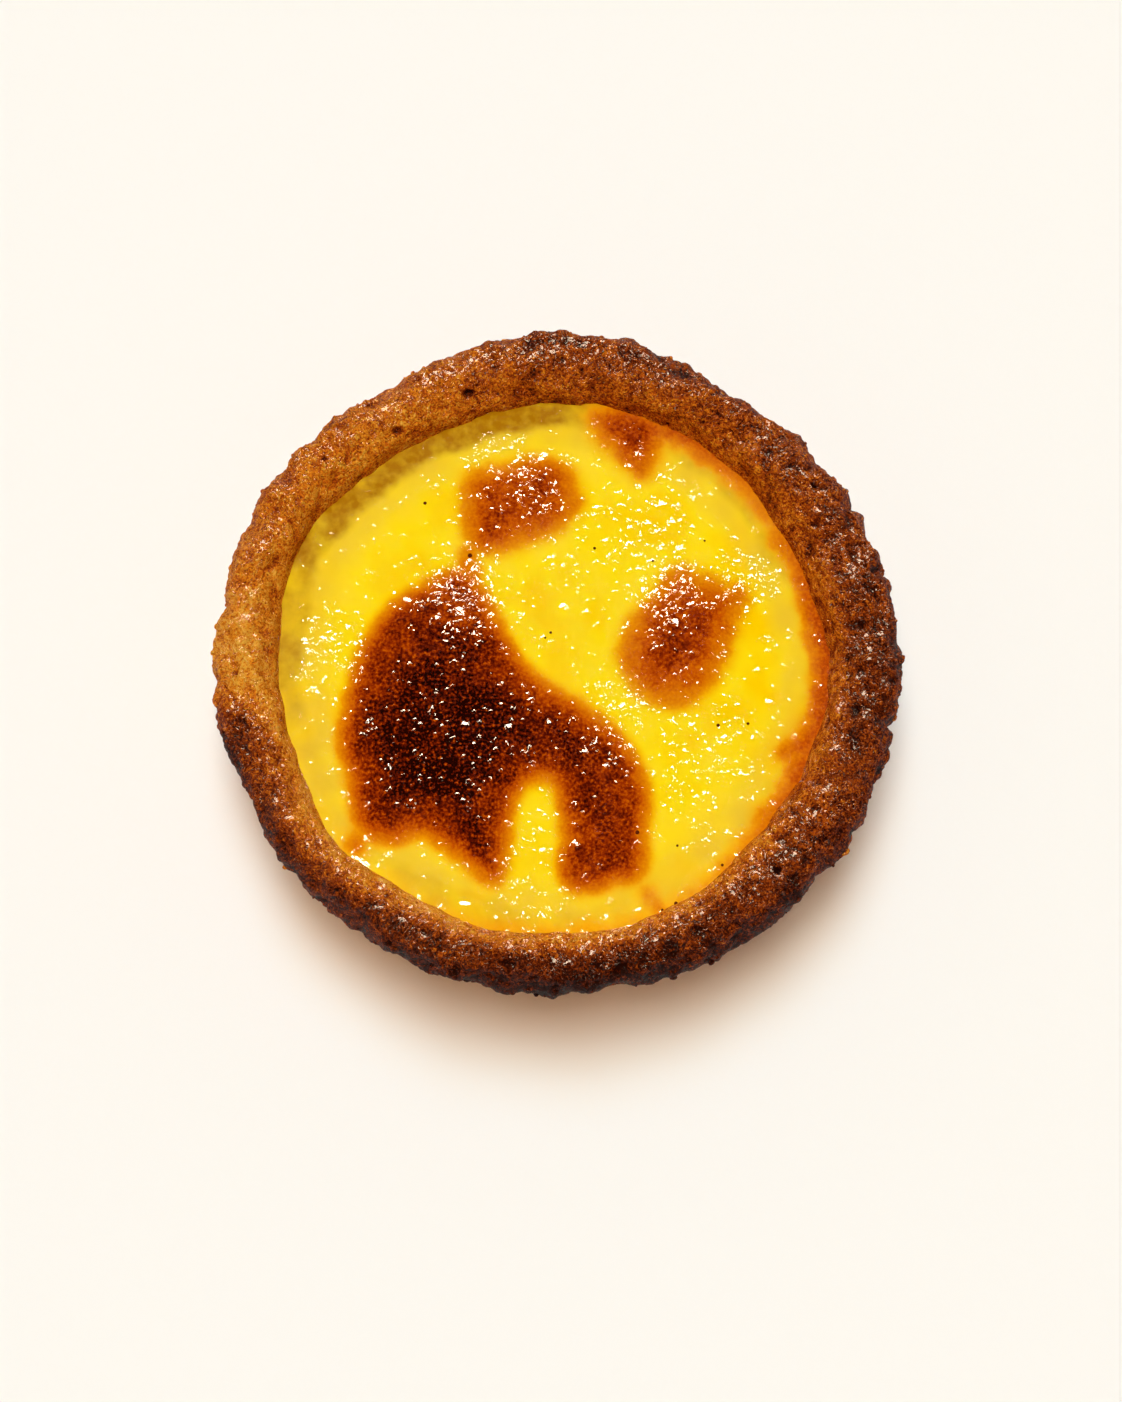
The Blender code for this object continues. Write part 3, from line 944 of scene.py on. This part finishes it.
def custard_section():
    """From the middle of the underside, up the wall, over the film and crease, to the dome."""
    underside = FLOOR_THICKNESS + WALL_CLEARANCE
    wall_top = (CUSTARD_EDGE_RADIUS - WALL_CLEARANCE, CUSTARD_EDGE_HEIGHT - EDGE_DROP)
    edge = (CUSTARD_EDGE_RADIUS + SOAK, CUSTARD_EDGE_HEIGHT + EDGE_LIFT)
    foot = arc(
        CAVITY_FLOOR_RADIUS - WALL_CLEARANCE - CAVITY_FILLET, underside + CAVITY_FILLET,
        CAVITY_FILLET, CAVITY_FILLET, -QUARTER, -WALL_LEAN, CAVITY_FOOT_STEPS,
    )
    wall = straight(foot[-1], wall_top, HIDDEN_WALL_STEPS)
    profile = [(0.0, underside)] + foot + wall + [wall_top, edge]
    for i in range(1, FILM_STEPS + 1):
        t = i / FILM_STEPS
        height = CREASE_HEIGHT + (edge[1] - CREASE_HEIGHT) * (1.0 - t) ** FILM_CURVE
        profile.append((edge[0] + (CREASE_RADIUS - edge[0]) * t, height))
    for i in range(1, SHOULDER_STEPS + 1):
        t = i / SHOULDER_STEPS
        height = CREASE_HEIGHT + (SHOULDER_HEIGHT - CREASE_HEIGHT) * smoothstep(0.0, 1.0, t)
        profile.append((CREASE_RADIUS + (SHOULDER_RADIUS - CREASE_RADIUS) * t, height))
    for i in range(1, SKIN_STEPS + 1):
        radius = SHOULDER_RADIUS * (1.0 - i / SKIN_STEPS)
        rise = (CUSTARD_DOME - SHOULDER_HEIGHT) * (1.0 - (radius / SHOULDER_RADIUS) ** 2)
        profile.append((radius, SHOULDER_HEIGHT + rise))
    return [(r, z, 0.0, 0.0, 0.0) for r, z in profile]


custard = turned(custard_section(), CUSTARD_SEGMENTS)
true_radius = {v.index: math.hypot(v.co.x, v.co.y) for v in custard.verts}
press_by_hand(custard)
print("custard points:", len(custard.verts))

# %% [markdown]
# ## The skin of the custard
#
# The skin is wet and never quite flat: it rises and falls slowly, has dimples a few millimetres
# apart, and is ruffled where it touches the pastry. A film of custard climbs the wall in some
# places and stays down in others. Near the wall the skin is olive, partly the colour of its thin
# film and partly painted shadow of the wall, darkest at the back; it is rusty where the right and
# the front baked harder. Its outer part is painted a duller, paler yellow as a painted sheen. Syrup
# lies on the skin in patches, so each point stores how wet it is, besides its tints, and the
# material puts drops there.

# %% Relief, scorching and tints of the skin
WAVE_DEPTH = 0.3
WAVE_SIZE = 9.0
WAVE_LEVEL = 4.0
DIMPLE_DEPTH = 0.09
DIMPLE_SIZE = 2.6
RUFFLE_DEPTH = 0.025
RUFFLE_SIZE = 1.1
# Ripples of the film: depth, depth as a share of it where it is dry, and size
FILM_DEPTH = 0.24
DRY_FILM = 0.4
FILM_SIZE = 1.6
# The film climbs the wall where this noise passes from the first level to the second
CLIMB_SIZE = 2.4
CLIMB_LEVELS = (-0.1, 0.3)
CLIMB_LOST_TO_RUST = 0.85
STREAK = 0.22

# Two noises each, as size in mm and weight: what makes the custard's border waver, what makes
# the rust creep, and what streaks the scorching
RIPPLE = ((3.5, 0.8), (1.1, 0.3))
CREEP = ((2.2, 0.7), (0.9, 0.3))
STREAKS = ((1.4, 1.0), (3.5, 1.0))
BLOTCH_SIZE = 2.6
# Where each tint begins and ends, in mm of radius
WALL_BAND = (CREASE_RADIUS - 1.4, CREASE_RADIUS + 0.2)
RUST_BAND = (CREASE_RADIUS - 1.7, CUSTARD_EDGE_RADIUS + 0.3)
# The pale band: a painted sheen on the outer skin
PALE_SHEEN_BAND = (23.5, 27.0)
# Even part and blotchy part of the two tints: the olive with its painted shadow, and the painted
# sheen
OLIVE_AND_SHADOW_SHARES = (0.7, 0.6)
PALE_SHEEN_SHARES = (0.45, 0.55)

# Tints of the skin near the wall: azimuth, half width, amount. The olive is partly the thin
# film's colour and partly painted shadow of the wall; the rust is where the skin baked harder
OLIVE_AND_SHADOW = (
    (100, 26, 1), (142, 20, 0.9), (176, 18, 0.45),
    (40, 26, 0.4), (340, 22, 0.2), (250, 36, 0.22),
)
RUST = ((5, 36, 0.95), (325, 26, 0.36), (62, 18, 0.8), (270, 40, 0.35))
RUST_DARKNESS = 0.48
# Where syrup lies on the skin: x, y, radius and the share of drops that stand up
DRY_SHARE = 0.10
WET_PATCHES = (
    (-10.8, 8.4, 3.4, 2.2), (-3.2, 20.7, 3, 0.8), (-7.4, 26, 2.4, 1.6), (12.6, 8.6, 3.2, 1.7),
    (9.7, 18, 4.6, 0.45), (6.8, -4.4, 3.2, 1.3), (4.6, 12.7, 5, 0.22), (-26.5, 1.1, 3.4, 1.5),
    (17.7, -11.4, 6, 0.65), (-14.2, -6.9, 6.5, 0.08), (21.9, 9.8, 3, 1.2), (-20.6, -22.7, 3, 0.4),
    (-4.2, -28.8, 6, 0.45), (-2.6, -20.4, 3, 0.35), (-19, 14, 4, -0.06), (5.2, -19, 3.4, -0.22),
)
# Where the film itself is wet, and how dry it is elsewhere
WET_FILM = ((252, 24, 0.9), (222, 12, 0.5), (285, 12, 0.4))
FILM_DRYNESS = 0.9
BELOW_CREASE = 0.1
TINTS = ("scorch", "olive_and_shadow", "pale_sheen", "wet")


def layered(flat, noises):
    """Sum of noises at a place, each with its own size and weight."""
    return sum(weight * noise.noise(flat / size) for size, weight in noises)


def finish_skin(bm):
    """Raise the blisters, ruffle the skin, and store the tints of each point, painted shadow and
    sheen too.
    """
    layers = {name: bm.verts.layers.float.new(name) for name in TINTS}
    verts = [v for v in bm.verts if v.co.z > CREASE_HEIGHT - BELOW_CREASE]
    x = np.array([v.co.x for v in verts])
    y = np.array([v.co.y for v in verts])
    scorched = np.zeros(len(verts))
    puffed = np.zeros(len(verts))
    for outline, darkness, height, edge_width in BLISTERS:
        depth = depth_inside(x, y, outline)
        reach = min(DARKENING[1], max(LEAST_REACH, float(depth.max())))
        edge = soft(SOFT_EDGE[0] * edge_width, SOFT_EDGE[1] * edge_width, depth)
        tone = 0.5 * edge + 0.5 * soft(DARKENING[0], reach, depth)
        scorched = np.maximum(scorched, darkness * tone)
        puffed = np.maximum(puffed, height * soft(RISE[0], min(RISE[1], reach), depth))
    from_heart = np.hypot(x - HEART[0], y - HEART[1]) / HEART_RADIUS
    dimming = np.exp(-from_heart ** 2)
    scorched = np.where(scorched > FAR_TONE, FAR_TONE + (scorched - FAR_TONE) * dimming, scorched)
    for v, burnt, puff in zip(verts, scorched, puffed):
        radius = true_radius[v.index]
        azimuth = azimuth_of(v.co)
        flat = Vector((v.co.x, v.co.y, WAVE_LEVEL))
        skin = 1.0 - smoothstep(SHOULDER_RADIUS, CREASE_RADIUS, radius)
        near_wall = smoothstep(*WALL_BAND, radius + layered(flat, RIPPLE))
        rust = min(1.0, swell(azimuth, RUST))
        climb = smoothstep(*CLIMB_LEVELS, noise.noise(flat / CLIMB_SIZE))
        climb *= 1.0 - CLIMB_LOST_TO_RUST * rust
        if radius > CREASE_RADIUS:
            v.co.z = CREASE_HEIGHT + (v.co.z - CREASE_HEIGHT) * climb
        wet = swell(azimuth, WET_FILM)
        blotch = 0.5 + noise.noise(flat / BLOTCH_SIZE)
        lift = skin * (puff + WAVE_DEPTH * noise.noise(flat / WAVE_SIZE))
        lift += DIMPLE_DEPTH * noise.noise(flat / DIMPLE_SIZE)
        lift += RUFFLE_DEPTH * noise.noise(flat / RUFFLE_SIZE)
        lift += FILM_DEPTH * near_wall * (DRY_FILM + wet) * noise.noise(flat / FILM_SIZE)
        v.co.z += lift
        scorch = burnt * (1.0 + STREAK * layered(flat, STREAKS))
        rusty = rust * smoothstep(*RUST_BAND, radius + layered(flat, CREEP))
        v[layers["scorch"]] = max(scorch, RUST_DARKNESS * rusty)
        # Olive of the thin film near the wall, with the wall's shadow painted into it
        olive_and_shadow = swell(azimuth, OLIVE_AND_SHADOW) * (OLIVE_AND_SHADOW_SHARES[0] + OLIVE_AND_SHADOW_SHARES[1] * blotch)
        v[layers["olive_and_shadow"]] = near_wall * min(1.0, olive_and_shadow)
        # Painted sheen: the outer skin is painted a duller, paler yellow, as a broad reflection
        # would show
        pale_sheen = PALE_SHEEN_SHARES[0] + PALE_SHEEN_SHARES[1] * blotch
        v[layers["pale_sheen"]] = pale_sheen * smoothstep(*PALE_SHEEN_BAND, radius)
        soaked = DRY_SHARE
        for px, py, size, share in WET_PATCHES:
            soaked += share * math.exp(-((v.co.x - px) ** 2 + (v.co.y - py) ** 2) / size ** 2)
        v[layers["wet"]] = soaked * (1.0 - FILM_DRYNESS * near_wall * (1.0 - min(1.0, wet)))


finish_skin(custard)
print("skin top at", round(max(v.co.z for v in custard.verts), 2), "mm")

# %% [markdown]
# ## Glazed cheese custard
#
# A baked cheese custard is an egg-yellow gel with a skin that shines as if it had been glazed.
# Light goes a little way into it, so its shadows stay yellow. Its colour runs from yellow through
# amber and rust to almost black as the sugar in the skin burns, and the burnt skin is speckled,
# because it scorches grain by grain. The glints come from a smooth coat with drops of syrup in
# three sizes, pools, curls and dots, that lie on one another. How wet each place is says how many
# of them stand up, and the skin between them stays clean and shows its full colour. The coat does
# all the mirroring, so the base has none.

# %% Custard material
glaze, shader = new_material("glazed_cheese_custard")
place = add_node(glaze, "TexCoord").outputs["Object"]
burnt = add_node(glaze, "Attribute", attribute_name="scorch").outputs["Fac"]
tints = {
    name: add_node(glaze, "Attribute", attribute_name=name).outputs["Fac"]
    for name in ("pale_sheen", "olive_and_shadow", "wet")
}

# Sizes in mm: clouds of yellow, mottling of the olive and its painted shadow, and grains of burnt
# sugar
CLOUD_SIZE = 6.0
SHADE_SIZE = 1.0
BURNT_GRAIN_SIZE = 0.36
BURNT_GRAIN_HEIGHT = 0.22
# How far red light goes into the custard, in mm
LIGHT_DEPTH = 0.6
# How scorched the skin is where its burnt colour starts to cover the yellow, and where it has
BURN_COVERS = (0.02, 0.22)
# Drops of syrup: spacing, radius, height and pull out of round, in mm
POOLS = (1.90, 1.0, 0.29, 1.8)
CURLS = (1.20, 0.62, 0.20, 1.2)
DOTS = (0.60, 0.30, 0.095, 0.3)

mottling, grain, cloud = (
    add_node(
        glaze, "TexNoise", {"Vector": place}, {"Scale": 1.0 / (size * MM), "Detail": 2.0}
    ).outputs["Fac"] for size in (SHADE_SIZE, BURNT_GRAIN_SIZE, CLOUD_SIZE)
)
# A gain and an offset turn each noise or wetness into the share that it stands for
shares = {}
for name, value, gain, offset in (
    ("shade", mottling, 1.1, 0.4), ("grain", grain, 2.6, -1.3),
    ("pools", tints["wet"], 0.8, -0.15), ("dots", tints["wet"], 0.42, 0.05),
):
    shares[name] = add_node(
        glaze, "Math", {0: value}, {1: gain, 2: offset}, operation="MULTIPLY_ADD"
    ).outputs[0]
skin_colour = add_node(
    glaze, "ValToRGB", {"Fac": cloud},
    stops=((0.30, "#FFDA24"), (0.70, "#FFCE00"), (0.50, "#FFDB0C")),
).outputs["Color"]
tints["olive_and_shadow"] = add_node(
    glaze, "Math", {0: tints["olive_and_shadow"], 1: shares["shade"]}, operation="MULTIPLY", use_clamp=True
).outputs[0]
# The pale is a painted sheen, and the olive is the thin film's colour with painted shadow in it
for name, hex_colour in (("pale_sheen", "#EFC62C"), ("olive_and_shadow", "#AC7204")):
    skin_colour = add_node(
        glaze, "Mix", {"Factor": tints[name], "A": skin_colour},
        {"B": linear(hex_colour)}, data_type="RGBA",
    ).outputs["Result"]
uneven = add_node(
    glaze, "Math", {0: burnt, 1: shares["grain"]}, {2: 1.0}, operation="MULTIPLY_ADD"
)
speckled = add_node(glaze, "Math", {0: burnt, 1: uneven.outputs[0]}, operation="MULTIPLY")
burn_colour = add_node(
    glaze, "ValToRGB", {"Fac": speckled.outputs[0]},
    stops=(
        (0.00, "#FBC200"), (1.00, "#240501"), (0.14, "#F0A002"), (0.26, "#DC7A02"),
        (0.40, "#C25202"), (0.56, "#932D01"), (0.74, "#5A1302"),
    ),
)
burn_share = add_node(
    glaze, "MapRange", {"Value": speckled.outputs[0]},
    {"From Min": BURN_COVERS[0], "From Max": BURN_COVERS[1]}, interpolation_type="SMOOTHSTEP",
)
scorched_colour = add_node(
    glaze, "Mix",
    {"Factor": burn_share.outputs["Result"], "A": skin_colour, "B": burn_colour.outputs["Color"]},
    data_type="RGBA",
)

pools = beaded(glaze, place, POOLS, shares["pools"])
curls = beaded(glaze, place, CURLS, tints["wet"], below=pools)
syrup = beaded(glaze, place, DOTS, shares["dots"], below=curls)
grain_height = add_node(glaze, "Math", {0: grain, 1: burnt}, operation="MULTIPLY")
grain_bump = add_node(
    glaze, "Bump", {"Height": grain_height.outputs[0]},
    {"Strength": 0.8, "Distance": BURNT_GRAIN_HEIGHT * MM},
)
fill(glaze, shader, {
    "Base Color": scorched_colour.outputs["Result"], "Normal": grain_bump.outputs["Normal"],
    "Coat Normal": syrup,
}, {
    "Roughness": 0.5, "Specular IOR Level": 0.0, "Coat Weight": 1.0, "Coat Roughness": 0.05,
    "Subsurface Weight": 0.08, "Subsurface Radius": (1.0, 0.6, 0.15),
    "Subsurface Scale": LIGHT_DEPTH * MM,
})
print("custard shader:", len(glaze.node_tree.nodes), "nodes")

# %% [markdown]
# ## Specks in the skin
#
# A few burnt specks lie on the skin, some of them vanilla and some blown off the pastry. Each is a
# tiny flattened ball, set on the skin by dropping a ray onto it.

# %% Burnt specks
# Each speck: x, y, radius
SPECKS = (
    (-9.8, 12.5, 0.26), (4.1, 13.3, 0.17), (10.6, 11.9, 0.15), (17.7, -7, 0.2),
    (21, -6.8, 0.17), (8.7, -19.2, 0.24), (13.1, -20.6, 0.15), (12.9, -27, 0.22),
    (11.4, -27.7, 0.15), (18, -22.7, 0.17), (-0.8, 3.5, 0.16), (-1.4, 2.9, 0.13),
    (-14.9, 18.8, 0.2), (16.4, 14.3, 0.13),
)
SPECK_FLATNESS = 0.45

speck_material, speck_shader = new_material("burnt_speck")
# Charred crumb is dull and rough, and looks like a dark dot
fill(speck_material, speck_shader, {}, {
    "Base Color": linear("#5C2008"), "Roughness": 0.7, "Specular IOR Level": 0.0,
})

skin_tree = BVHTree.FromBMesh(custard)
specks = bmesh.new()
for x, y, radius in SPECKS:
    seat = skin_tree.ray_cast(Vector((x, y, 2.0 * LIP_TOP)), Vector((0.0, 0.0, -1.0)))[0]
    matrix = Matrix.Translation(seat) @ Matrix.Diagonal((1.0, 1.0, SPECK_FLATNESS, 1.0))
    bmesh.ops.create_icosphere(specks, subdivisions=2, radius=radius, matrix=matrix)
finished(specks, "burnt_specks", speck_material)

custard_piece = finished(custard, "cheese_custard", glaze)
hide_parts("filling")
